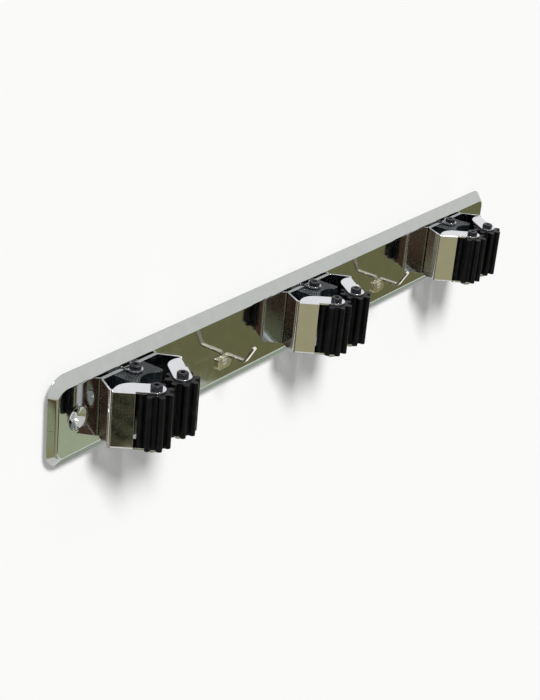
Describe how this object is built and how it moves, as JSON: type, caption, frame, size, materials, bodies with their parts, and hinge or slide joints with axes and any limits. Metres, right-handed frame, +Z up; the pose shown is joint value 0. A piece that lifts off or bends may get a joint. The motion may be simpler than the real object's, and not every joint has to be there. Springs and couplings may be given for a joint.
{
  "type": "wall mop holder rack",
  "caption": "Wall rack on a pressed steel plate, with spring band grips whose ribbed rubber rollers hold mop and broom handles, and small hooks between the grips.",
  "frame": {"origin": "middle of the plate on the wall plane", "axes": "+X along the plate to the right as seen from the room, +Y into the wall, +Z up"},
  "size_m": [0.508, 0.0469, 0.0596],
  "materials": {
    "plate_steel": "mirror-polished stainless steel",
    "band_steel": "polished spring steel",
    "hook_steel": "polished stainless steel",
    "plain_steel": "plain bright steel",
    "black_bolt": "black oxide, satin",
    "roller_rubber": "black rubber, slightly glossy",
    "cushion_rubber": "dark grey rubber, semi-gloss"
  },
  "bodies": {
    "rack": {"back_plate": "plate_steel", "left_hook": "hook_steel", "right_hook": "hook_steel", "hook_rivets": "plain_steel", "left_grip_band": "band_steel", "left_grip_cushion": "cushion_rubber", "left_grip_left_sleeve": "plain_steel", "left_grip_right_sleeve": "plain_steel", "left_grip_left_bolt": "black_bolt", "left_grip_right_bolt": "black_bolt", "left_grip_rear_bolt": "black_bolt", "left_grip_nuts": "plain_steel", "middle_grip_band": "band_steel", "middle_grip_cushion": "cushion_rubber", "middle_grip_left_sleeve": "plain_steel", "middle_grip_right_sleeve": "plain_steel", "middle_grip_left_bolt": "black_bolt", "middle_grip_right_bolt": "black_bolt", "middle_grip_rear_bolt": "black_bolt", "middle_grip_nuts": "plain_steel", "right_grip_band": "band_steel", "right_grip_cushion": "cushion_rubber", "right_grip_left_sleeve": "plain_steel", "right_grip_right_sleeve": "plain_steel", "right_grip_left_bolt": "black_bolt", "right_grip_right_bolt": "black_bolt", "right_grip_rear_bolt": "black_bolt", "right_grip_nuts": "plain_steel"},
    "left_grip_left_roller": {"left_grip_left_roller": "roller_rubber"},
    "left_grip_right_roller": {"left_grip_right_roller": "roller_rubber"},
    "middle_grip_left_roller": {"middle_grip_left_roller": "roller_rubber"},
    "middle_grip_right_roller": {"middle_grip_right_roller": "roller_rubber"},
    "right_grip_left_roller": {"right_grip_left_roller": "roller_rubber"},
    "right_grip_right_roller": {"right_grip_right_roller": "roller_rubber"}
  },
  "joints": [
    {"name": "left_grip_left_roller_spin", "type": "hinge", "parent": "rack", "child": "left_grip_left_roller", "pos_m": [-0.201, -0.036, 0], "axis": [0, 0, 1], "continuous": true},
    {"name": "left_grip_right_roller_spin", "type": "hinge", "parent": "rack", "child": "left_grip_right_roller", "pos_m": [-0.177, -0.036, 0], "axis": [0, 0, 1], "continuous": true},
    {"name": "middle_grip_left_roller_spin", "type": "hinge", "parent": "rack", "child": "middle_grip_left_roller", "pos_m": [-0.012, -0.036, 0], "axis": [0, 0, 1], "continuous": true},
    {"name": "middle_grip_right_roller_spin", "type": "hinge", "parent": "rack", "child": "middle_grip_right_roller", "pos_m": [0.012, -0.036, 0], "axis": [0, 0, 1], "continuous": true},
    {"name": "right_grip_left_roller_spin", "type": "hinge", "parent": "rack", "child": "right_grip_left_roller", "pos_m": [0.177, -0.036, 0], "axis": [0, 0, 1], "continuous": true},
    {"name": "right_grip_right_roller_spin", "type": "hinge", "parent": "rack", "child": "right_grip_right_roller", "pos_m": [0.201, -0.036, 0], "axis": [0, 0, 1], "continuous": true}
  ]
}
